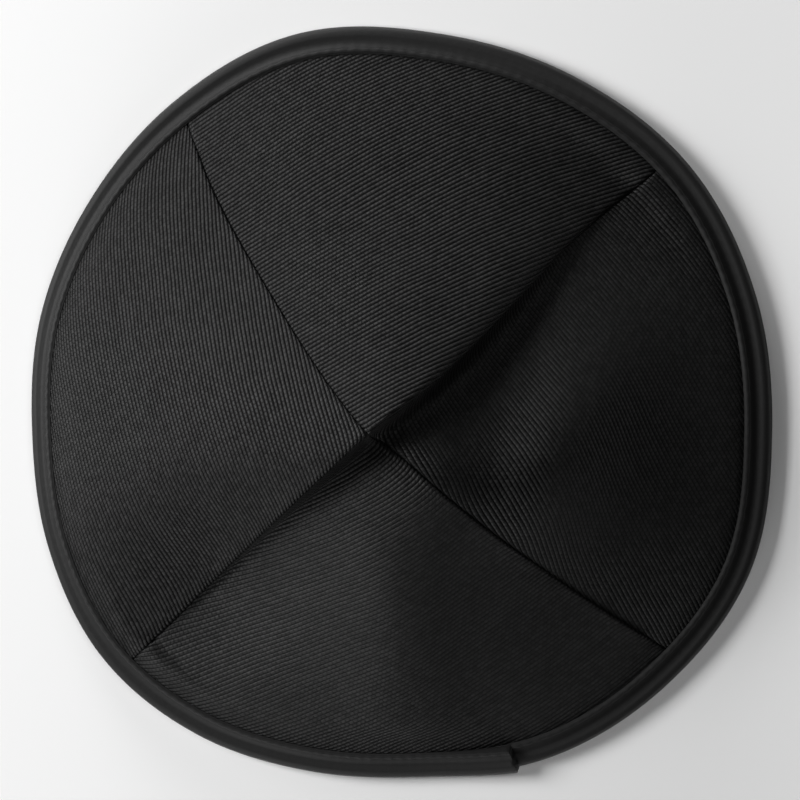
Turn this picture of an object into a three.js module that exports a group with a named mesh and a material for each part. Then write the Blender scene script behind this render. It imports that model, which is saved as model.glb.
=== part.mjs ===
import * as THREE from 'three';
import { mergeVertices } from 'three/addons/utils/BufferGeometryUtils.js';

// Skullcap of four twill panels with a satin tape folded over the rim.
// Millimetres, +Z up. It rests on its rim with the outside up, and the origin is under the rim's middle.
// A place on the cap is a bearing, in degrees from +X about the apex, and a share of the way
// from the apex, 0, to the cloth's lower edge, 1.

const DEG = Math.PI / 180;

// Driving sizes
const APEX = { x: -7.3, y: -7.3 };
const EDGE_HEIGHT = 2.2;
const TOP_HEIGHT = 43;
const TOP_ROUND = 0.1;
const TAPE_WIDTH = 5.9;
const TURN_WIDTH = 5;
const CLOTH = 1.2;
const GAP = 0.3;
const CREST_AXIS = 42.5;
const CREST_SPREAD = 14;
const SHOULDER_SPREAD = 10;
const SEAM_DIP = 0.7;
const DIP_WIDTH = 1.6;
const SEAM_LIFT = 0.6;
const LIFT_WIDTH = 5;
const UNDER_TAPE = [0.86, 0.92];
const LAP_START = 275;
const LAP_END = 293;
const LAP_CUT = 0.25;
const LAP_OUT = 1.8;

// Facets, and the shortest distance between two corners
const ACROSS = 18;
const DOWN = 15;
const AROUND = 96;
const WELD = 1e-4;

// The cloth's lower edge: reach is the plan distance from the apex, slope the crown's tilt above the
// tape, and turn the steeper tilt to which the cloth turns down under the tape.
const RIM = [
  { bearing: 0, reach: 90.1, slope: 20, turn: 34 },
  { bearing: 20, reach: 91.9, slope: 20, turn: 33 },
  { bearing: 40, reach: 93.5, slope: 21, turn: 33 },
  { bearing: 60, reach: 92.2, slope: 23, turn: 35 },
  { bearing: 80, reach: 90.9, slope: 25, turn: 36 },
  { bearing: 100, reach: 90.9, slope: 26, turn: 36 },
  { bearing: 120, reach: 86.2, slope: 31, turn: 40 },
  { bearing: 140, reach: 81.3, slope: 38, turn: 52 },
  { bearing: 160, reach: 77.8, slope: 43, turn: 59 },
  { bearing: 180, reach: 75.0, slope: 44, turn: 60 },
  { bearing: 200, reach: 75.8, slope: 42, turn: 58 },
  { bearing: 220, reach: 77.6, slope: 36, turn: 52 },
  { bearing: 240, reach: 77.2, slope: 30, turn: 47 },
  { bearing: 260, reach: 76.3, slope: 28, turn: 47 },
  { bearing: 280, reach: 77.5, slope: 28, turn: 45 },
  { bearing: 300, reach: 82.9, slope: 27, turn: 42 },
  { bearing: 320, reach: 87.0, slope: 25, turn: 38 },
  { bearing: 340, reach: 90.6, slope: 22, turn: 36 },
];

// The long seam stands as a crest. along and aside are plan places on it, above is how far it lifts
// the upper panels there, roll how far they turn down over it and over the width of that turn, face
// the width of the steep fold under them, and below how far the lower panels' shoulder sinks.
const CREST = [
  { along: -72, aside: -1.5, above: 0, roll: 0.4, over: 0.8, face: 0.6, below: 0 },
  { along: -55, aside: -1.1, above: 0.9, roll: 0.9, over: 2, face: 0.6, below: 1.4 },
  { along: -30, aside: -0.3, above: 2.6, roll: 0.9, over: 1.4, face: 0.8, below: 3.4 },
  { along: -10, aside: 0, above: 4, roll: 0.8, over: 1, face: 1, below: 6.4 },
  { along: 0, aside: 0, above: 4.2, roll: 0.9, over: 1.1, face: 1.1, below: 7.6 },
  { along: 17, aside: -1.4, above: 4.8, roll: 1.8, over: 2.6, face: 1.5, below: 8.2 },
  { along: 30, aside: -1.3, above: 4.8, roll: 2.6, over: 6, face: 1.6, below: 8 },
  { along: 45, aside: -0.3, above: 4.4, roll: 3.4, over: 9, face: 1.5, below: 6.4 },
  { along: 60, aside: 0.9, above: 2.6, roll: 3.4, over: 11, face: 1.2, below: 3.6 },
  { along: 72, aside: 1, above: 0.8, roll: 1.5, over: 9, face: 0.8, below: 1.4 },
  { along: 85, aside: 0, above: 0, roll: 0.3, over: 0.8, face: 0.6, below: 0 },
];

// Soft swells and hollows of the crown. x and y are the plan place of the middle, bearing the way
// it runs, length and width its reach both ways, and rise its height.
const SWELLS = [
  { x: -7, y: -7, bearing: 42.5, length: 44, width: 38, rise: 6 },
  { x: 36, y: -12, bearing: 60, length: 26, width: 14, rise: 9.5 },
  { x: -1, y: -50, bearing: -86, length: 30, width: 13, rise: 4.8 },
  { x: 9, y: -17, bearing: -90, length: 12, width: 9, rise: 3.8 },
  { x: -42.5, y: -39.5, bearing: 42.5, length: 18, width: 17, rise: -7.5 },
  { x: 50, y: 46, bearing: 42.5, length: 20, width: 20, rise: -2.5 },
  { x: -7, y: 43, bearing: 10, length: 30, width: 12, rise: -1.5 },
];

// The two short seams, each from the apex to the rim.
const LEFT_BACK_SEAM = [
  { share: 0, bearing: 133 },
  { share: 0.15, bearing: 129 },
  { share: 0.4, bearing: 125.5 },
  { share: 0.75, bearing: 122.8 },
  { share: 1, bearing: 119.5 },
];
const RIGHT_FRONT_SEAM = [
  { share: 0, bearing: 332 },
  { share: 0.12, bearing: 325 },
  { share: 0.25, bearing: 321.4 },
  { share: 0.6, bearing: 322.4 },
  { share: 1, bearing: 324.5 },
];

// The tape's section: up is the distance up the wall from the cloth's edge, out the distance
// outward from the cloth's outer face, and laps is 1 where the lapped end adds its own thickness.
const TAPE_OUTSIDE = [
  { up: 5.9, out: 0.35, laps: 0 },
  { up: 5.9, out: 0.95, laps: 1 },
  { up: 5.3, out: 1.2, laps: 1 },
  { up: 4.6, out: 0.65, laps: 1 },
  { up: 2.6, out: 0.75, laps: 1 },
  { up: 1.6, out: 1.75, laps: 1 },
  { up: 0.4, out: 1.8, laps: 1 },
  { up: -1.0, out: 0.85, laps: 1 },
];
const TAPE_INSIDE = [
  { up: 0.6, out: -2.5, laps: 0 },
  { up: 5.0, out: -2.4, laps: 0 },
  { up: 5.5, out: -2.0, laps: 0 },
  { up: 5.5, out: -1.6, laps: 0 },
  { up: -0.4, out: -1.6, laps: 0 },
  { up: -0.4, out: 0.35, laps: 0 },
];
// Plan distances of the flat foot's two sides, outward from the cloth's edge.
const FOOT = [0.7, -0.9];

// Value of a column at a place between the rows, on a smooth curve through them.
function readTable(rows, key, column, at, period = 0) {
  const last = rows.length - 1;
  const row = (i) => {
    const turns = period ? Math.floor(i / rows.length) : 0;
    const held = period ? i - turns * rows.length : THREE.MathUtils.clamp(i, 0, last);
    return { x: rows[held][key] + turns * period, y: rows[held][column] };
  };
  const slope = (i) => (row(i + 1).y - row(i - 1).y) / (row(i + 1).x - row(i - 1).x);
  const end = period ? last : last - 1;
  let i = 0;
  while (i < end && row(i + 1).x <= at) {
    i += 1;
  }
  const width = row(i + 1).x - row(i).x;
  const t = THREE.MathUtils.clamp((at - row(i).x) / width, 0, 1);
  const straight = row(i).y + (row(i + 1).y - row(i).y) * t * t * (3 - 2 * t);
  const leaving = slope(i) * width * t * (1 - t) * (1 - t);
  const arriving = slope(i + 1) * width * t * t * (t - 1);
  return straight + leaving + arriving;
}

function turned(bearing) {
  return THREE.MathUtils.euclideanModulo(bearing, 360);
}

function rim(column, bearing) {
  return readTable(RIM, 'bearing', column, turned(bearing), 360);
}

function crest(column, along) {
  return readTable(CREST, 'along', column, along);
}

// Bearing of the crest's end on one side of the apex, at a share of the way down.
function crestBearing(side, share) {
  const along = side * share * rim('reach', CREST_AXIS + (side < 0 ? 180 : 0));
  return turned(CREST_AXIS + Math.atan2(crest('aside', along), along) / DEG);
}

const SEAMS = {
  crest_right: (share) => crestBearing(1, share),
  left_back: (share) => readTable(LEFT_BACK_SEAM, 'share', 'bearing', share),
  crest_left: (share) => crestBearing(-1, share),
  right_front: (share) => readTable(RIGHT_FRONT_SEAM, 'share', 'bearing', share),
};

// Each panel runs between two seams. startLift and endLift raise its edge there, and below is 1
// for a panel on the crest's lower side.
const PANELS = [
  { name: 'panel_right', start: 'right_front', end: 'crest_right', startLift: 0, endLift: 0, below: 1 },
  { name: 'panel_back', start: 'crest_right', end: 'left_back', startLift: 0, endLift: 0, below: 0 },
  { name: 'panel_left', start: 'left_back', end: 'crest_left', startLift: 1, endLift: 0, below: 0 },
  { name: 'panel_front', start: 'crest_left', end: 'right_front', startLift: 0, endLift: 1, below: 1 },
];

// Depth to which the cloth turns down below the crown's own slope, at a plan distance from its edge.
function turnedDown(bearing, distance) {
  const turn = rim('turn', bearing) * DEG;
  const extra = Math.tan(turn) - Math.tan(rim('slope', bearing) * DEG);
  const under = Math.max(TAPE_WIDTH * Math.cos(turn) - distance, 0);
  const rest = THREE.MathUtils.clamp(TAPE_WIDTH * Math.cos(turn) + TURN_WIDTH - distance, 0, TURN_WIDTH);
  return extra * (under + rest * rest / (2 * TURN_WIDTH));
}

// Point of the plain dome, under the crest, the swells and the seams.
function domePoint(bearing, share) {
  const reach = rim('reach', bearing);
  const deepest = turnedDown(bearing, 0);
  const rise = TOP_HEIGHT - EDGE_HEIGHT - deepest;
  const power = Math.tan(rim('slope', bearing) * DEG) * reach / rise;
  const rounded = (at) => (at * at + TOP_ROUND * TOP_ROUND) ** (power / 2);
  const up = rise * (rounded(1) - rounded(share)) / (rounded(1) - rounded(0));
  const height = EDGE_HEIGHT + up + deepest - turnedDown(bearing, (1 - share) * reach);
  const x = APEX.x + share * reach * Math.cos(bearing * DEG);
  const y = APEX.y + share * reach * Math.sin(bearing * DEG);
  return new THREE.Vector3(x, y, height);
}

// Depth of an edge that turns over on a quarter of an ellipse, at a distance from the edge.
function turnedOver(distance, depth, width) {
  const inside = Math.max(1 - distance / width, 0);
  return depth * (1 - Math.sqrt(1 - inside * inside));
}

// Height that the crest adds to the dome, on a panel above it or below it.
function crestHeight(point, below) {
  const x = point.x - APEX.x;
  const y = point.y - APEX.y;
  const along = x * Math.cos(CREST_AXIS * DEG) + y * Math.sin(CREST_AXIS * DEG);
  const across = y * Math.cos(CREST_AXIS * DEG) - x * Math.sin(CREST_AXIS * DEG);
  const away = Math.abs(across - crest('aside', along));
  const above = crest('above', along);
  const roll = crest('roll', along);
  if (!below) {
    return above * Math.exp(-away / CREST_SPREAD) - turnedOver(away, roll, crest('over', along));
  }
  const sunk = crest('below', along);
  const fold = (above + sunk - roll) * Math.exp(-away / crest('face', along));
  return fold - sunk * Math.exp(-away / SHOULDER_SPREAD);
}

// Height that the soft swells and hollows add.
function swellHeight(point) {
  let total = 0;
  for (const swell of SWELLS) {
    const x = point.x - swell.x;
    const y = point.y - swell.y;
    const angle = swell.bearing * DEG;
    const along = (x * Math.cos(angle) + y * Math.sin(angle)) / swell.length;
    const across = (y * Math.cos(angle) - x * Math.sin(angle)) / swell.width;
    total += swell.rise * Math.exp(-along * along - across * across);
  }
  return total;
}

// Height that the seams at a panel's two sides add: the edge rolls down into each seam.
function seamHeight(panel, bearing, share) {
  const plan = share * rim('reach', bearing);
  const fromStart = plan * Math.abs(bearing - SEAMS[panel.start](share)) * DEG;
  const fromEnd = plan * Math.abs(bearing - endBearing(panel, share)) * DEG;
  const dip = Math.exp(-fromStart / DIP_WIDTH) + Math.exp(-fromEnd / DIP_WIDTH);
  const lift = panel.startLift * Math.exp(-fromStart / LIFT_WIDTH)
    + panel.endLift * Math.exp(-fromEnd / LIFT_WIDTH);
  return SEAM_LIFT * lift * share * (2 - share) - SEAM_DIP * dip;
}

// Bearing of a panel's last seam, always past that of its first.
function endBearing(panel, share) {
  const start = SEAMS[panel.start](share);
  const end = SEAMS[panel.end](share);
  return end < start ? end + 360 : end;
}

// Outward direction of the plain dome.
function domeNormal(bearing, share) {
  const step = 0.01;
  const turn = 1;
  const at = Math.max(share, 2 * step);
  const up = domePoint(bearing, at - step).sub(domePoint(bearing, at + step));
  const round = domePoint(bearing + turn, at).sub(domePoint(bearing - turn, at));
  return round.cross(up).normalize();
}

// Outer and inner point of a panel's cloth.
function clothPoints(panel, bearing, share) {
  const outer = domePoint(bearing, share);
  const free = 1 - THREE.MathUtils.smoothstep(share, ...UNDER_TAPE);
  const seams = seamHeight(panel, bearing, share);
  outer.z += free * (crestHeight(outer, panel.below) + swellHeight(outer) + seams);
  const inner = outer.clone().addScaledVector(domeNormal(bearing, share), -CLOTH);
  return { outer, inner };
}

// Closed body from triangles, without those that have no area.
function closedBody(triangles) {
  const kept = triangles.filter(([a, b, c]) => !a.equals(b) && !b.equals(c) && !c.equals(a));
  const geometry = new THREE.BufferGeometry().setFromPoints(kept.flat());
  const merged = mergeVertices(geometry, WELD);
  merged.computeVertexNormals();
  return merged;
}

function pushQuad(triangles, a, b, c, d) {
  triangles.push([a, b, c], [a, c, d]);
}

// One row of a panel's grid, from seam to seam and closer together near them. The row at the apex
// is one point.
function panelRow(panel, share) {
  const start = SEAMS[panel.start](share);
  const end = endBearing(panel, share);
  const row = [];
  for (let i = 0; i <= ACROSS; i += 1) {
    if (share === 0) {
      const middle = (start + end) / 2;
      row.push(clothPoints(panel, middle, GAP / rim('reach', middle)));
    } else {
      const across = 0.5 - 0.5 * Math.cos(Math.PI * i / ACROSS);
      const first = start + (GAP / 2) / (share * rim('reach', start)) / DEG;
      const last = end - (GAP / 2) / (share * rim('reach', end)) / DEG;
      row.push(clothPoints(panel, THREE.MathUtils.lerp(first, last, across), share));
    }
  }
  return row;
}

// One panel: a grid of outer points, one of inner points, and the walls that join them.
function panelGeometry(panel) {
  const rows = [];
  for (let j = 0; j <= DOWN; j += 1) {
    rows.push(panelRow(panel, j / DOWN));
  }
  const triangles = [];
  for (let j = 0; j < DOWN; j += 1) {
    for (let i = 0; i < ACROSS; i += 1) {
      const [a, b] = [rows[j][i], rows[j + 1][i]];
      const [d, c] = [rows[j][i + 1], rows[j + 1][i + 1]];
      pushQuad(triangles, a.outer, b.outer, c.outer, d.outer);
      pushQuad(triangles, d.inner, c.inner, b.inner, a.inner);
    }
    const [a, b] = [rows[j][0], rows[j + 1][0]];
    const [c, d] = [rows[j][ACROSS], rows[j + 1][ACROSS]];
    pushQuad(triangles, a.outer, a.inner, b.inner, b.outer);
    pushQuad(triangles, c.inner, c.outer, d.outer, d.inner);
  }
  for (let i = 0; i < ACROSS; i += 1) {
    const [a, b] = [rows[DOWN][i], rows[DOWN][i + 1]];
    pushQuad(triangles, a.outer, a.inner, b.inner, b.outer);
  }
  return closedBody(triangles);
}

// Amount by which the tape's lapped end stands off the tape under it.
function lapOut(bearing) {
  if (bearing < LAP_START || bearing > LAP_END) {
    return 0;
  }
  return LAP_OUT * ((bearing - LAP_START) / (LAP_END - LAP_START)) ** 2;
}

// Point of the tape's section at a bearing.
function tapePoint(bearing, { up, out, laps }) {
  const slope = rim('turn', bearing) * DEG;
  const share = 1 - Math.max(up, 0) * Math.cos(slope) / rim('reach', bearing);
  const point = domePoint(bearing, share);
  const below = Math.min(up, 0);
  point.x -= below * Math.cos(slope) * Math.cos(bearing * DEG);
  point.y -= below * Math.cos(slope) * Math.sin(bearing * DEG);
  point.z += below * Math.sin(slope);
  point.addScaledVector(domeNormal(bearing, share), out + laps * lapOut(bearing));
  point.z = Math.max(point.z, 0);
  return point;
}

// Point of the tape's flat foot on the floor.
function footPoint(bearing, offset) {
  const point = domePoint(bearing, 1);
  point.x += offset * Math.cos(bearing * DEG);
  point.y += offset * Math.sin(bearing * DEG);
  point.z = 0;
  return point;
}

function bindingGeometry() {
  const bearings = [];
  for (let i = 0; i < AROUND; i += 1) {
    bearings.push(360 * i / AROUND);
  }
  bearings.push(LAP_END, LAP_END + LAP_CUT);
  bearings.sort((a, b) => a - b);
  const rings = bearings.map((bearing) => [
    ...TAPE_OUTSIDE.map((row) => tapePoint(bearing, row)),
    ...FOOT.map((offset) => footPoint(bearing, offset)),
    ...TAPE_INSIDE.map((row) => tapePoint(bearing, row)),
  ]);
  const triangles = [];
  rings.forEach((ring, k) => {
    const next = rings[(k + 1) % rings.length];
    ring.forEach((a, m) => {
      const n = (m + 1) % ring.length;
      pushQuad(triangles, a, ring[n], next[n], next[m]);
    });
  });
  return closedBody(triangles);
}

const TWILL = new THREE.MeshStandardMaterial({ color: 0x1b1b1d, roughness: 0.85, metalness: 0 });
const SATIN = new THREE.MeshStandardMaterial({ color: 0x242427, roughness: 0.55, metalness: 0 });

const cap = new THREE.Group();
cap.name = 'skullcap';
for (const panel of PANELS) {
  const mesh = new THREE.Mesh(panelGeometry(panel), TWILL.clone());
  mesh.name = panel.name;
  cap.add(mesh);
}
const binding = new THREE.Mesh(bindingGeometry(), SATIN);
binding.name = 'edge_binding';
cap.add(binding);

export default cap;
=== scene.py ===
"""Skullcap of four black twill panels, with a smooth tape folded over its rim, seen from straight above."""

import functools
import math
from collections import namedtuple

import bmesh
import bpy
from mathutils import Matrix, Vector


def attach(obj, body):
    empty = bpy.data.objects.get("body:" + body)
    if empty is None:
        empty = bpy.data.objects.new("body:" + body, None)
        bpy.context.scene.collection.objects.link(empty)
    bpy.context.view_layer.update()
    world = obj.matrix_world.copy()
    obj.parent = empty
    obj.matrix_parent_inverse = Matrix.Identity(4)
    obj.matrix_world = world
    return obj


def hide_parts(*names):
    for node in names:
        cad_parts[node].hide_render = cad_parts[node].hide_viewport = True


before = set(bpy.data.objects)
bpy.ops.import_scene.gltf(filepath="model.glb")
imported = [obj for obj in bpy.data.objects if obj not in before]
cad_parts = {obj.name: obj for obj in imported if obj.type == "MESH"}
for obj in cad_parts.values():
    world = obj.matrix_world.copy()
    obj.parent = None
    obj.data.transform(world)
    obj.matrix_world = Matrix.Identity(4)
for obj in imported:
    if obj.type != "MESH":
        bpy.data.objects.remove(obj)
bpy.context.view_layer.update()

# A place on the cap is a bearing, in degrees from +X about the apex, and a share of the way
# from the apex, 0, to the cloth's lower edge, 1. Sizes are in metres.

# Crown
APEX = Vector((-0.0073, -0.0073, 0))
EDGE_HEIGHT = 0.0022
TOP_HEIGHT = 0.043
TOP_ROUND = 0.1
CLOTH = 0.0012

# Long seam, which stands as a crest
CREST_AXIS = 42.5
CREST_SPREAD = 0.014
SHOULDER_SPREAD = 0.01

# Edges of the panels along the seams
SEAM_GAP = 0.00006
EDGE_ROLL = 0.0008
SEAM_LIFT = 0.0009
LIFT_WIDTH = 0.005
UNDER_TAPE = (0.86, 0.92)

# Tape, and its lapped end. The turn is the stretch over which the cloth bends to go under it.
TAPE_WIDTH = 0.0059
TURN_WIDTH = 0.005
LAP_START = 275
LAP_END = 294.2
LAP_OUT = 0.0018

# Cloth's lower edge: reach is the plan distance from the apex, slope the crown's tilt above the
# tape, and turn the steeper tilt to which the cloth turns down under the tape.
RimRow = namedtuple("RimRow", "bearing reach slope turn")
RIM = (
    RimRow(bearing=0, reach=0.0901, slope=20, turn=34),
    RimRow(bearing=20, reach=0.0919, slope=20, turn=33),
    RimRow(bearing=40, reach=0.0935, slope=21, turn=33),
    RimRow(bearing=60, reach=0.0922, slope=23, turn=35),
    RimRow(bearing=80, reach=0.0909, slope=25, turn=36),
    RimRow(bearing=100, reach=0.0909, slope=26, turn=36),
    RimRow(bearing=120, reach=0.0862, slope=31, turn=40),
    RimRow(bearing=140, reach=0.0813, slope=38, turn=52),
    RimRow(bearing=160, reach=0.0778, slope=43, turn=59),
    RimRow(bearing=180, reach=0.0750, slope=44, turn=60),
    RimRow(bearing=200, reach=0.0758, slope=42, turn=58),
    RimRow(bearing=220, reach=0.0776, slope=36, turn=52),
    RimRow(bearing=240, reach=0.0772, slope=30, turn=47),
    RimRow(bearing=260, reach=0.0763, slope=28, turn=47),
    RimRow(bearing=280, reach=0.0775, slope=28, turn=45),
    RimRow(bearing=300, reach=0.0829, slope=27, turn=42),
    RimRow(bearing=320, reach=0.0870, slope=25, turn=38),
    RimRow(bearing=340, reach=0.0906, slope=22, turn=36),
)

# Crest: along and aside are plan places on it. above is how far it lifts the upper panels there,
# roll how far they turn down over it and over the width of that turn, face the width of the steep
# fold under them, and below how far the lower panels' shoulder sinks.
CrestRow = namedtuple("CrestRow", "along aside above roll over face below")
CREST = (
    CrestRow(along=-0.072, aside=-0.0015, above=0, roll=0.0004, over=0.0008, face=0.0006, below=0),
    CrestRow(along=-0.055, aside=-0.0011, above=0.0009, roll=0.0009, over=0.002, face=0.0006, below=0.0014),
    CrestRow(along=-0.03, aside=-0.0003, above=0.0026, roll=0.0009, over=0.0014, face=0.0008, below=0.0034),
    CrestRow(along=-0.01, aside=0, above=0.004, roll=0.0008, over=0.001, face=0.001, below=0.0064),
    CrestRow(along=0, aside=0, above=0.0042, roll=0.0009, over=0.0011, face=0.0011, below=0.0076),
    CrestRow(along=0.017, aside=-0.0014, above=0.0048, roll=0.0018, over=0.0026, face=0.0015, below=0.0082),
    CrestRow(along=0.03, aside=-0.0013, above=0.0048, roll=0.0026, over=0.006, face=0.0016, below=0.008),
    CrestRow(along=0.045, aside=-0.0003, above=0.0044, roll=0.0034, over=0.009, face=0.0015, below=0.0064),
    CrestRow(along=0.06, aside=0.0009, above=0.0026, roll=0.0034, over=0.011, face=0.0012, below=0.0036),
    CrestRow(along=0.072, aside=0.001, above=0.0008, roll=0.0015, over=0.009, face=0.0008, below=0.0014),
    CrestRow(along=0.085, aside=0, above=0, roll=0.0003, over=0.0008, face=0.0006, below=0),
)

# Soft swells and hollows of the crown. x and y are the plan place of the middle, bearing the way
# it runs, length and width its reach both ways, and rise its height.
Swell = namedtuple("Swell", "x y bearing length width rise")
SWELLS = (
    Swell(x=-0.007, y=-0.007, bearing=42.5, length=0.044, width=0.038, rise=0.006),
    Swell(x=0.036, y=-0.012, bearing=60, length=0.026, width=0.014, rise=0.0095),
    Swell(x=-0.001, y=-0.05, bearing=-86, length=0.03, width=0.013, rise=0.0048),
    Swell(x=0.009, y=-0.017, bearing=-90, length=0.012, width=0.009, rise=0.0038),
    Swell(x=-0.0425, y=-0.0395, bearing=42.5, length=0.018, width=0.017, rise=-0.0075),
    Swell(x=0.05, y=0.046, bearing=42.5, length=0.02, width=0.02, rise=-0.0025),
    Swell(x=-0.007, y=0.043, bearing=10, length=0.03, width=0.012, rise=-0.0015),
)

# Cross seams, given by their bearings on the way down
SeamRow = namedtuple("SeamRow", "share bearing")
LEFT_BACK_SEAM = (
    SeamRow(share=0, bearing=133),
    SeamRow(share=0.15, bearing=129),
    SeamRow(share=0.4, bearing=125.5),
    SeamRow(share=0.75, bearing=122.8),
    SeamRow(share=1, bearing=119.5),
)
RIGHT_FRONT_SEAM = (
    SeamRow(share=0, bearing=332),
    SeamRow(share=0.12, bearing=325),
    SeamRow(share=0.25, bearing=321.4),
    SeamRow(share=0.6, bearing=322.4),
    SeamRow(share=1, bearing=324.5),
)

# Each panel runs between two seams. start_lift and end_lift raise its edge there, below is 1 for a
# panel on the crest's lower side, and rib_turn is the way its ribs run, in degrees from its middle.
Panel = namedtuple("Panel", "name start end start_lift end_lift below rib_turn")
PANELS = (
    Panel(
        name="panel_right", start="right_front", end="crest_right",
        start_lift=0, end_lift=0, below=1, rib_turn=-57,
    ),
    Panel(
        name="panel_back", start="crest_right", end="left_back",
        start_lift=0, end_lift=0, below=0, rib_turn=-52,
    ),
    Panel(
        name="panel_left", start="left_back", end="crest_left",
        start_lift=1, end_lift=0, below=0, rib_turn=-66,
    ),
    Panel(
        name="panel_front", start="crest_left", end="right_front",
        start_lift=0, end_lift=1, below=1, rib_turn=-65,
    ),
)

# Section of the tape: up is the distance up the wall from the cloth's edge, out the distance
# outward from the cloth's outer face, laps 1 where the lapped end adds its thickness, and
# pucker how much of the stitches' pull shows there.
TapeRow = namedtuple("TapeRow", "up out laps pucker")
TAPE = (
    TapeRow(up=0.0059, out=0.00005, laps=0, pucker=0),
    TapeRow(up=0.006, out=0.0003, laps=1, pucker=0.5),
    TapeRow(up=0.0058, out=0.0007, laps=1, pucker=0.8),
    TapeRow(up=0.0054, out=0.0009, laps=1, pucker=1),
    TapeRow(up=0.00495, out=0.00075, laps=1, pucker=1),
    TapeRow(up=0.00455, out=0.0004, laps=1, pucker=0.6),
    TapeRow(up=0.004, out=0.00032, laps=1, pucker=0.3),
    TapeRow(up=0.0034, out=0.00035, laps=1, pucker=0.2),
    TapeRow(up=0.0028, out=0.00055, laps=1, pucker=0.2),
    TapeRow(up=0.0023, out=0.00105, laps=1, pucker=0.2),
    TapeRow(up=0.0018, out=0.00155, laps=1, pucker=0.1),
    TapeRow(up=0.001, out=0.0018, laps=1, pucker=0),
    TapeRow(up=0.0004, out=0.00175, laps=1, pucker=0),
    TapeRow(up=-0.0003, out=0.00135, laps=1, pucker=0),
    TapeRow(up=-0.0012, out=0.00065, laps=1, pucker=0),
    TapeRow(up=-0.0017, out=-0.0001, laps=0, pucker=0),
    TapeRow(up=-0.0018, out=-0.0012, laps=0, pucker=0),
    TapeRow(up=-0.0012, out=-0.0022, laps=0, pucker=0),
    TapeRow(up=0.0006, out=-0.0023, laps=0, pucker=0),
    TapeRow(up=0.0026, out=-0.0022, laps=0, pucker=0),
    TapeRow(up=0.0043, out=-0.00205, laps=0, pucker=0),
    TapeRow(up=0.0054, out=-0.00215, laps=0, pucker=0),
    TapeRow(up=0.0056, out=-0.0016, laps=0, pucker=0),
    TapeRow(up=0.003, out=-0.0015, laps=0, pucker=0),
    TapeRow(up=-0.0004, out=-0.0014, laps=0, pucker=0),
    TapeRow(up=-0.0004, out=0.0002, laps=0, pucker=0),
    TapeRow(up=0.003, out=0.00015, laps=0, pucker=0),
)
STITCH_LENGTH = 0.0027
PUCKER = 0.0001
RIM_RADIUS = 0.086
TAPE_LENGTH = 0.54
TAPE_BREADTH = 0.018

# Facets. The slab is the thickness of a panel before it is laid on the crown, and crease the
# angle in degrees past which an edge shades as sharp.
PANEL_ACROSS = 72
PANEL_DOWN = 84
TAPE_AROUND = 720
TAPE_ROUND = 104
SLAB = 0.1
CREASE = 60
WELD = 0.000002

# Twill. Each noise is given by its spots in a metre. The shares say how much a float, the fuzz or
# the mottle adds to the height of a thread, to how far the threads cover the painted shade of the
# hollows between them, or to the threads' own tone.
RIB_PITCH = 0.001
RIB_HEIGHT = 0.00026
RIB_DRIFT = 60
RIB_WANDER = 0.7
FLOAT_LENGTH = 0.0011
FLOAT_STAGGER = 0.37
FLOAT_RISE = 0.3
FLOAT_COVER_OF_PAINTED_SHADE = 0.6
FLOAT_SHADE = 0.9
FUZZ = 2600
FUZZ_RISE = 0.3
FUZZ_SHADE = 1.1
MOTTLE = 90
MOTTLE_SHADE = 0.6
SHADE_CUT = 0.3
ROUND_TOP = 2
FLAT_TOP = 4
THREAD_GREY = 0.0125
# Near-black of the hollows between the ribs and between the floats' ends: painted shade, over the gaps' own
# darker tone.
PAINTED_HOLLOW_SHADE_GREY = 0.001

# Tape's finish
TAPE_GRAIN = 1500
TAPE_ROUGH = 0.00008
TAPE_GREY = 0.0115
LEAST_SHADE = 0.7
GRAIN_SHADE = 0.6

# Floor
FLOOR_SIZE = 3
FLOOR_GREY = 0.95

# Camera, straight above the cap
PIXEL = 0.000227
PHOTO_WIDTH = 800
CAP_CENTRE_PIXEL = Vector((401, 402))
CAMERA_HEIGHT = 3
SENSOR = 36

# Square soft lights, all of one size and at one distance from the cap. bearing and elevation are
# in degrees and power is in watts.
LIGHT_DISTANCE = 1.2
LIGHT_SIZE = 0.5
WORLD_LIGHT = 0.004
Light = namedtuple("Light", "name bearing elevation power")
LIGHTS = (
    Light(name="key", bearing=170, elevation=35, power=14),
    Light(name="low_left", bearing=156, elevation=8, power=5),
    Light(name="low_back", bearing=110, elevation=8, power=10),
    Light(name="low_front", bearing=252, elevation=8, power=6),
    Light(name="top", bearing=0, elevation=80, power=2),
)


def mix(a, b, t):
    return a + (b - a) * t


def clamp(value, low=0.0, high=1.0):
    return max(low, min(high, value))


def smoothstep(value, low, high):
    t = clamp((value - low) / (high - low))
    return t * t * (3 - 2 * t)


def read_table(rows, key, column, at, period=0):
    """Value of a column at a place between the rows, on a smooth curve through them."""
    last = len(rows) - 1

    def row(i):
        turns = i // len(rows) if period else 0
        held = i - turns * len(rows) if period else int(clamp(i, 0, last))
        return getattr(rows[held], key) + turns * period, getattr(rows[held], column)

    def slope(i):
        before, after = row(i - 1), row(i + 1)
        return (after[1] - before[1]) / (after[0] - before[0])

    end = last if period else last - 1
    i = 0
    while i < end and row(i + 1)[0] <= at:
        i += 1
    (x, y), (next_x, next_y) = row(i), row(i + 1)
    width = next_x - x
    t = clamp((at - x) / width)
    straight = mix(y, next_y, t * t * (3 - 2 * t))
    return straight + slope(i) * width * t * (1 - t) ** 2 + slope(i + 1) * width * t * t * (t - 1)


@functools.cache
def rim(column, bearing):
    return read_table(RIM, "bearing", column, bearing % 360, 360)


def crest(column, along):
    return read_table(CREST, "along", column, along)


def crest_bearing(side, share):
    """Bearing of the crest on one side of the apex, at a share of the way down."""
    way = CREST_AXIS if side > 0 else CREST_AXIS + 180
    plan = share * rim("reach", way)
    return (way + math.degrees(math.atan2(side * crest("aside", side * plan), plan))) % 360


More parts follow.
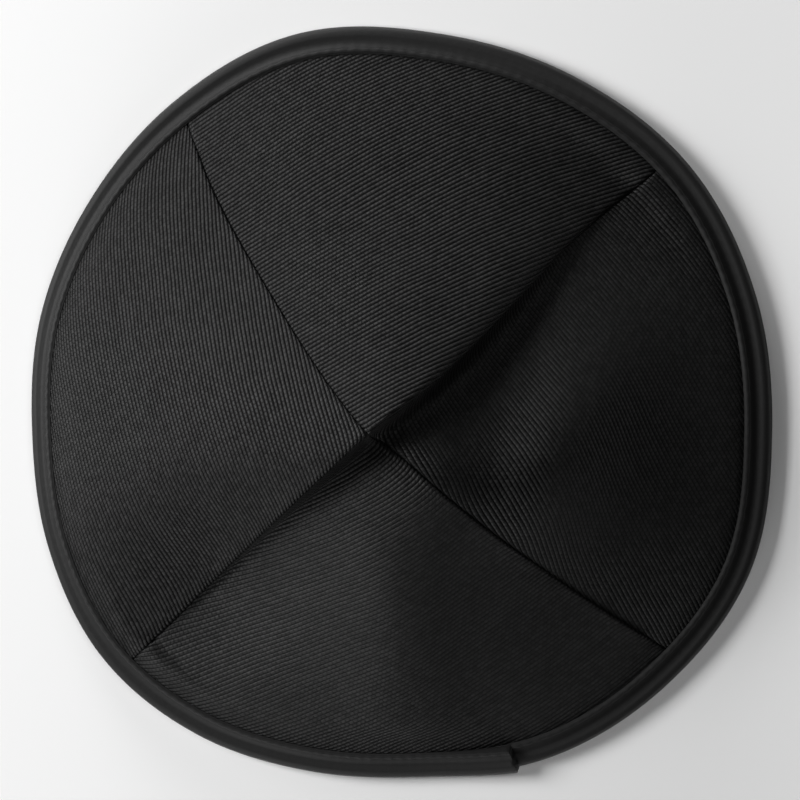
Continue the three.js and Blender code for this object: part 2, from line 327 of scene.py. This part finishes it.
SEAMS = {
    "crest_right": lambda share: crest_bearing(1, share),
    "left_back": lambda share: read_table(LEFT_BACK_SEAM, "share", "bearing", share),
    "crest_left": lambda share: crest_bearing(-1, share),
    "right_front": lambda share: read_table(RIGHT_FRONT_SEAM, "share", "bearing", share),
}


@functools.cache
def panel_sides(panel, share):
    """Bearings of a panel's two seams, the second always past the first."""
    start, end = SEAMS[panel.start](share), SEAMS[panel.end](share)
    return start, end + 360 if end < start else end


@functools.cache
def turned_down(bearing, distance):
    """Depth of the cloth's turn below the crown's own slope, at a plan distance from its edge."""
    turn = math.radians(rim("turn", bearing))
    extra = math.tan(turn) - math.tan(math.radians(rim("slope", bearing)))
    under = max(TAPE_WIDTH * math.cos(turn) - distance, 0)
    rest = clamp(TAPE_WIDTH * math.cos(turn) + TURN_WIDTH - distance, 0, TURN_WIDTH)
    return extra * (under + rest * rest / (2 * TURN_WIDTH))


def dome_point(bearing, share):
    """Point of the plain dome, under the crest, the swells and the seams."""
    reach = rim("reach", bearing)
    deepest = turned_down(bearing, 0)
    rise = TOP_HEIGHT - EDGE_HEIGHT - deepest
    power = math.tan(math.radians(rim("slope", bearing))) * reach / rise
    top, here, edge = ((at * at + TOP_ROUND ** 2) ** (power / 2) for at in (0, share, 1))
    turn = deepest - turned_down(bearing, (1 - share) * reach)
    height = EDGE_HEIGHT + rise * (edge - here) / (edge - top) + turn
    plan = share * reach
    angle = math.radians(bearing)
    return APEX + Vector((plan * math.cos(angle), plan * math.sin(angle), height))


def dome_normal(bearing, share):
    """Outward direction of the plain dome."""
    step, turn = 0.01, 1
    at = max(share, 2 * step)
    up = dome_point(bearing, at - step) - dome_point(bearing, at + step)
    around = dome_point(bearing + turn, at) - dome_point(bearing - turn, at)
    return around.cross(up).normalized()


def turned_over(distance, depth, width):
    """Depth of an edge that turns over on a quarter of an ellipse, at a distance from the edge."""
    inside = clamp(1 - distance / width)
    return depth * (1 - math.sqrt(1 - inside * inside))


def crest_height(point, below):
    """Height that the crest adds to the dome, on a panel above it or below it."""
    x, y = point.x - APEX.x, point.y - APEX.y
    axis = math.radians(CREST_AXIS)
    along = x * math.cos(axis) + y * math.sin(axis)
    away = abs(y * math.cos(axis) - x * math.sin(axis) - crest("aside", along))
    above, roll, sunk = (crest(column, along) for column in ("above", "roll", "below"))
    if not below:
        return above * math.exp(-away / CREST_SPREAD) - turned_over(away, roll, crest("over", along))
    fold = (above + sunk - roll) * math.exp(-away / crest("face", along))
    return fold - sunk * math.exp(-away / SHOULDER_SPREAD)


def swell_height(point):
    """Height that the soft swells and hollows add."""
    total = 0
    for swell in SWELLS:
        x, y = point.x - swell.x, point.y - swell.y
        angle = math.radians(swell.bearing)
        along = (x * math.cos(angle) + y * math.sin(angle)) / swell.length
        across = (y * math.cos(angle) - x * math.sin(angle)) / swell.width
        total += swell.rise * math.exp(-along * along - across * across)
    return total


def seam_edges(panel, bearing, share):
    """Plan distances of a place on a panel from its two seams."""
    start, end = panel_sides(panel, share)
    plan = share * rim("reach", bearing)
    return plan * math.radians(abs(bearing - start)), plan * math.radians(abs(end - bearing))


def cloth_point(panel, bearing, share, inner):
    """Point of a panel's outer or inner face."""
    point = dome_point(bearing, share)
    from_start, from_end = seam_edges(panel, bearing, share)
    free = 1 - smoothstep(share, *UNDER_TAPE)
    start_lift = panel.start_lift * math.exp(-from_start / LIFT_WIDTH)
    end_lift = panel.end_lift * math.exp(-from_end / LIFT_WIDTH)
    seam = SEAM_LIFT * (start_lift + end_lift) * share * (2 - share)
    point.z += free * (crest_height(point, panel.below) + swell_height(point) + seam)
    if inner:
        return point - CLOTH * dome_normal(bearing, share)
    point.z -= turned_over(min(from_start, from_end), EDGE_ROLL, EDGE_ROLL)
    return point


def new_piece(name, bm, finish, node):
    """Object made from a bmesh, riding on the cap and standing for its CAD node."""
    mesh = bpy.data.meshes.new(name)
    bm.to_mesh(mesh)
    bm.free()
    mesh.materials.append(finish)
    piece = bpy.data.objects.new(name, mesh)
    bpy.context.scene.collection.objects.link(piece)
    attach(piece, "root")
    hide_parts(node)


def close_and_shade(bm):
    """Closed body facing out, smooth apart from its sharp edges."""
    bmesh.ops.remove_doubles(bm, verts=bm.verts[:], dist=WELD)
    bmesh.ops.recalc_face_normals(bm, faces=bm.faces[:])
    for face in bm.faces:
        face.smooth = True
    for edge in bm.edges:
        edge.smooth = edge.calc_face_angle(0) < math.radians(CREASE)


def lay_panel(panel, inner):
    """Points of a panel's outer or inner face, in rows from the apex down, closer near the seams."""
    steps = [0.5 - 0.5 * math.cos(math.pi * i / PANEL_ACROSS) for i in range(PANEL_ACROSS + 1)]
    middle = sum(panel_sides(panel, 0)) / 2
    tip = cloth_point(panel, middle, SEAM_GAP / rim("reach", middle), inner)
    rows = [[tip] * (PANEL_ACROSS + 1)]
    for j in range(1, PANEL_DOWN + 1):
        share = j / PANEL_DOWN
        start, end = panel_sides(panel, share)
        clear = math.degrees(SEAM_GAP / 2 / (share * rim("reach", start)))
        bearings = [mix(start + clear, end - clear, step) for step in steps]
        rows.append([cloth_point(panel, bearing, share, inner) for bearing in bearings])
    return rows


def flat_places(rows):
    """Places of a panel's points on the flat cloth, as it rolls out from its middle."""
    middle = PANEL_ACROSS // 2
    runs = [0] * (PANEL_ACROSS + 1)
    places = [[(0, 0)] * (PANEL_ACROSS + 1)]
    for above, row in zip(rows, rows[1:]):
        runs = [run + (b - a).length for run, a, b in zip(runs, above, row)]
        turns = [0]
        for i in range(PANEL_ACROSS):
            turns.append(turns[-1] + 2 * (row[i + 1] - row[i]).length / (runs[i] + runs[i + 1]))
        turns = [turn - turns[middle] for turn in turns]
        places.append([(run * math.cos(turn), run * math.sin(turn)) for run, turn in zip(runs, turns)])
    return places


def make_panel(panel, finish):
    """One panel, cut as a flat slab whose corners are then laid on the crown."""
    bm = bmesh.new()
    bmesh.ops.create_grid(bm, x_segments=PANEL_ACROSS, y_segments=PANEL_DOWN, size=1)
    bmesh.ops.solidify(bm, geom=bm.faces[:], thickness=SLAB)
    outer, inner = lay_panel(panel, False), lay_panel(panel, True)
    flat = flat_places(outer)
    top = max(vertex.co.z for vertex in bm.verts)

    def row_and_column(vertex):
        row = round((1 - vertex.co.y) / 2 * PANEL_DOWN)
        return row, round((vertex.co.x + 1) / 2 * PANEL_ACROSS)

    cut = bm.loops.layers.uv.new("cut")
    for face in bm.faces:
        for loop in face.loops:
            j, i = row_and_column(loop.vert)
            loop[cut].uv = flat[j][i]
    for vertex in bm.verts:
        j, i = row_and_column(vertex)
        face_rows = outer if top - vertex.co.z < SLAB / 2 else inner
        vertex.co = face_rows[j][i]
    close_and_shade(bm)
    new_piece(panel.name + "_cloth", bm, finish, panel.name)


def lap_out(bearing):
    """Amount by which the tape's lapped end stands off the tape under it."""
    if bearing < LAP_START or bearing > LAP_END:
        return 0
    return LAP_OUT * ((bearing - LAP_START) / (LAP_END - LAP_START)) ** 2


def tape_point(bearing, up, out):
    """Point of the tape at a distance up the wall and out from the cloth."""
    slope = math.radians(rim("turn", bearing))
    share = 1 - max(up, 0) * math.cos(slope) / rim("reach", bearing)
    angle = math.radians(bearing)
    level, drop = math.cos(slope), math.sin(slope)
    point = dome_point(bearing, share) + out * dome_normal(bearing, share)
    point += max(-up, 0) * Vector((level * math.cos(angle), level * math.sin(angle), -drop))
    point.z = max(point.z, 0)
    return point


def tape_row(place):
    """Section of the tape at a place from 0 to the number of its rows, on a smooth closed curve."""
    count = len(TAPE)
    i = int(place) % count
    t = place - int(place)
    rows = [TAPE[(i + k) % count] for k in (-1, 0, 1, 2)]

    def smooth(a, b, c, d):
        return b + 0.5 * t * (c - a + t * (2 * a - 5 * b + 4 * c - d + t * (3 * (b - c) + d - a)))

    return TapeRow(*(smooth(*values) for values in zip(*rows)))


def make_edge_binding(finish):
    """The folded tape, a strip rolled into its section and laid round the rim."""
    bm = bmesh.new()
    bmesh.ops.create_grid(bm, x_segments=TAPE_AROUND, y_segments=TAPE_ROUND, size=1)
    cut = bm.loops.layers.uv.new("cut")
    for face in bm.faces:
        for loop in face.loops:
            x, y = loop.vert.co.x, loop.vert.co.y
            loop[cut].uv = ((x + 1) / 2 * TAPE_LENGTH, (y + 1) / 2 * TAPE_BREADTH)
    section = [tape_row(len(TAPE) * j / TAPE_ROUND) for j in range(TAPE_ROUND)]
    for vertex in bm.verts:
        bearing = (vertex.co.x + 1) / 2 * 360 % 360
        row = section[round((1 - vertex.co.y) / 2 * TAPE_ROUND) % TAPE_ROUND]
        pull = math.sin(2 * math.pi * math.radians(bearing) * RIM_RADIUS / STITCH_LENGTH)
        out = row.out + row.laps * lap_out(bearing) + row.pucker * pull * PUCKER
        vertex.co = tape_point(bearing, row.up, out)
    close_and_shade(bm)
    new_piece("edge_binding_tape", bm, finish, "edge_binding")


class Signal:
    """An output of a material's node, which joins Python sums through Math nodes."""

    def __init__(self, finish, socket):
        self.finish = finish
        self.socket = socket

    def __add__(self, other):
        return self.finish.math("ADD", self, other)

    def __radd__(self, other):
        return self.finish.math("ADD", other, self)

    def __sub__(self, other):
        return self.finish.math("SUBTRACT", self, other)

    def __rsub__(self, other):
        return self.finish.math("SUBTRACT", other, self)

    def __mul__(self, other):
        return self.finish.math("MULTIPLY", self, other)

    def __rmul__(self, other):
        return self.finish.math("MULTIPLY", other, self)

    def __truediv__(self, other):
        return self.finish.math("DIVIDE", self, other)

    def __rtruediv__(self, other):
        return self.finish.math("DIVIDE", other, self)

    def __pow__(self, other):
        return self.finish.math("POWER", self, other)

    def __rpow__(self, other):
        return self.finish.math("POWER", other, self)

    def __abs__(self):
        return self.finish.math("ABSOLUTE", self)

    def __floor__(self):
        return self.finish.math("FLOOR", self)


class Finish:
    """A material, built from nodes."""

    def __init__(self, name, colour):
        self.material = bpy.data.materials.new(name)
        self.material.use_nodes = True
        self.material.diffuse_color = (*colour, 1)
        self.tree = self.material.node_tree
        self.tree.nodes.clear()

    def node(self, kind, settings=None, sockets=None, output=0):
        """New node with its settings, then its sockets' values or links."""
        made = self.tree.nodes.new(kind)
        for name, value in (settings or {}).items():
            setattr(made, name, value)
        for name, value in (sockets or {}).items():
            if isinstance(value, Signal):
                self.tree.links.new(value.socket, made.inputs[name])
            else:
                made.inputs[name].default_value = value
        return Signal(self, made.outputs[output])

    def math(self, operation, *values):
        return self.node("ShaderNodeMath", {"operation": operation}, dict(enumerate(values)))

    def cut_place(self):
        """Place on the cloth as it was cut, in metres."""
        return self.node("ShaderNodeUVMap", {"uv_map": "cut"})

    def noise(self, place, scale):
        """Soft noise around a half, scale being its spots in a metre."""
        sockets = {"Vector": place, "Scale": scale, "Detail": 2.0}
        return self.node("ShaderNodeTexNoise", None, sockets, "Fac")

    def arch(self, count, power):
        """1 in the middle of each whole step of count, 0 at its ends, flatter for a higher power."""
        from_middle = abs(self.math("FRACT", count) * 2 - 1)
        return 1 - from_middle ** power

    def patches(self, *counts):
        """A random value between 0 and 1 for each pair of whole steps."""
        steps = {i: math.floor(count) for i, count in enumerate(counts)}
        pair = self.node("ShaderNodeCombineXYZ", None, steps)
        settings = {"noise_dimensions": "2D"}
        return self.node("ShaderNodeTexWhiteNoise", settings, {"Vector": pair}, "Value")

    def bump(self, height, distance, strength=1.0):
        sockets = {"Strength": strength, "Distance": distance, "Height": height}
        return self.node("ShaderNodeBump", None, sockets)

    def surface(self, **sockets):
        """Principled shader, its sockets named with underscores."""
        names = {name.replace("_", " "): value for name, value in sockets.items()}
        return self.node("ShaderNodeBsdfPrincipled", None, names)

    def done(self, shader):
        output = self.tree.nodes.new("ShaderNodeOutputMaterial")
        self.tree.links.new(shader.socket, output.inputs["Surface"])
        return self.material


def twill_finish(panel):
    """Black twill with slanting ribs, each a row of short floats of thread."""
    finish = Finish("twill_" + panel.name, (0.012, 0.012, 0.013))
    place = finish.cut_place()
    x, y = (finish.node("ShaderNodeSeparateXYZ", None, {0: place}, axis) for axis in "XY")
    angle = math.radians(panel.rib_turn)
    across = y * math.cos(angle) - x * math.sin(angle)
    along = x * math.cos(angle) + y * math.sin(angle)
    rib = across / RIB_PITCH + finish.noise(place, RIB_DRIFT) * RIB_WANDER
    step = along / FLOAT_LENGTH + math.floor(rib) * FLOAT_STAGGER
    floats = finish.arch(step, FLAT_TOP)
    fuzz = finish.noise(place, FUZZ)
    ridge = finish.arch(rib, ROUND_TOP) * (1 - FLOAT_RISE + floats * FLOAT_RISE)
    # Mask of the threads over the hollows: where it falls off, the painted shade of the hollows shows
    # between the ribs and the floats.
    threads_over_painted_shade = finish.arch(rib, FLAT_TOP) * (1 - FLOAT_COVER_OF_PAINTED_SHADE + floats * FLOAT_COVER_OF_PAINTED_SHADE)
    shade = finish.patches(rib, step) * FLOAT_SHADE + fuzz * FUZZ_SHADE
    shade = shade + finish.noise(place, MOTTLE) * MOTTLE_SHADE - SHADE_CUT
    threads = finish.surface(
        Base_Color=shade * THREAD_GREY,
        Roughness=0.5,
        Specular_IOR_Level=0.22,
        Normal=finish.bump(ridge + fuzz * FUZZ_RISE, RIB_HEIGHT),
    )
    # The hollows are a near-black, dull shader: painted shade in the recesses between the threads, over
    # their own darker tone.
    painted_hollow_shade = finish.surface(
        Base_Color=(PAINTED_HOLLOW_SHADE_GREY, PAINTED_HOLLOW_SHADE_GREY, PAINTED_HOLLOW_SHADE_GREY, 1),
        Roughness=0.9,
        Specular_IOR_Level=0.02,
    )
    return finish.done(finish.node("ShaderNodeMixShader", None, {0: threads_over_painted_shade, 1: painted_hollow_shade, 2: threads}))


def satin_finish():
    """Smooth black tape with a soft sheen."""
    finish = Finish("satin_tape", (0.018, 0.018, 0.020))
    grain = finish.noise(finish.cut_place(), TAPE_GRAIN)
    return finish.done(finish.surface(
        Base_Color=(grain * GRAIN_SHADE + LEAST_SHADE) * TAPE_GREY,
        Roughness=0.6,
        Specular_IOR_Level=0.25,
        Sheen_Weight=0.04,
        Sheen_Roughness=0.3,
        Normal=finish.bump(grain, TAPE_ROUGH, 0.6),
    ))


def floor_finish():
    grey = (FLOOR_GREY, FLOOR_GREY, FLOOR_GREY)
    finish = Finish("floor", grey)
    return finish.done(finish.surface(Base_Color=(*grey, 1), Roughness=0.9))


def make_floor():
    bm = bmesh.new()
    bmesh.ops.create_grid(bm, x_segments=1, y_segments=1, size=FLOOR_SIZE)
    mesh = bpy.data.meshes.new("floor")
    bm.to_mesh(mesh)
    bm.free()
    mesh.materials.append(floor_finish())
    floor = bpy.data.objects.new("floor", mesh)
    bpy.context.scene.collection.objects.link(floor)


def place_camera():
    """Camera straight above the cap, with the cap's middle at the photo's pixel."""
    data = bpy.data.cameras.new("camera")
    data.sensor_width = SENSOR
    data.lens = SENSOR * CAMERA_HEIGHT / (PIXEL * PHOTO_WIDTH)
    camera = bpy.data.objects.new("camera", data)
    offset = (Vector((PHOTO_WIDTH / 2, PHOTO_WIDTH / 2)) - CAP_CENTRE_PIXEL) * PIXEL
    camera.location = (offset.x, -offset.y, CAMERA_HEIGHT)
    bpy.context.scene.collection.objects.link(camera)
    bpy.context.scene.camera = camera


def place_light(light):
    """One of the soft lights, aimed at the cap."""
    data = bpy.data.lights.new(light.name, "AREA")
    data.size = LIGHT_SIZE
    data.energy = light.power
    lamp = bpy.data.objects.new(light.name, data)
    around, rise = math.radians(light.bearing), math.radians(light.elevation)
    level = LIGHT_DISTANCE * math.cos(rise)
    height = LIGHT_DISTANCE * math.sin(rise)
    lamp.location = (level * math.cos(around), level * math.sin(around), height)
    lamp.rotation_euler = (-lamp.location).to_track_quat("-Z", "Y").to_euler()
    bpy.context.scene.collection.objects.link(lamp)


def light_studio():
    world = bpy.data.worlds.new("studio")
    world.use_nodes = True
    background = world.node_tree.nodes["Background"]
    background.inputs["Color"].default_value = (1, 1, 1, 1)
    background.inputs["Strength"].default_value = WORLD_LIGHT
    bpy.context.scene.world = world
    bpy.context.scene.view_settings.view_transform = "Standard"
    for light in LIGHTS:
        place_light(light)


place_camera()
light_studio()
make_floor()
for panel in PANELS:
    make_panel(panel, twill_finish(panel))
make_edge_binding(satin_finish())
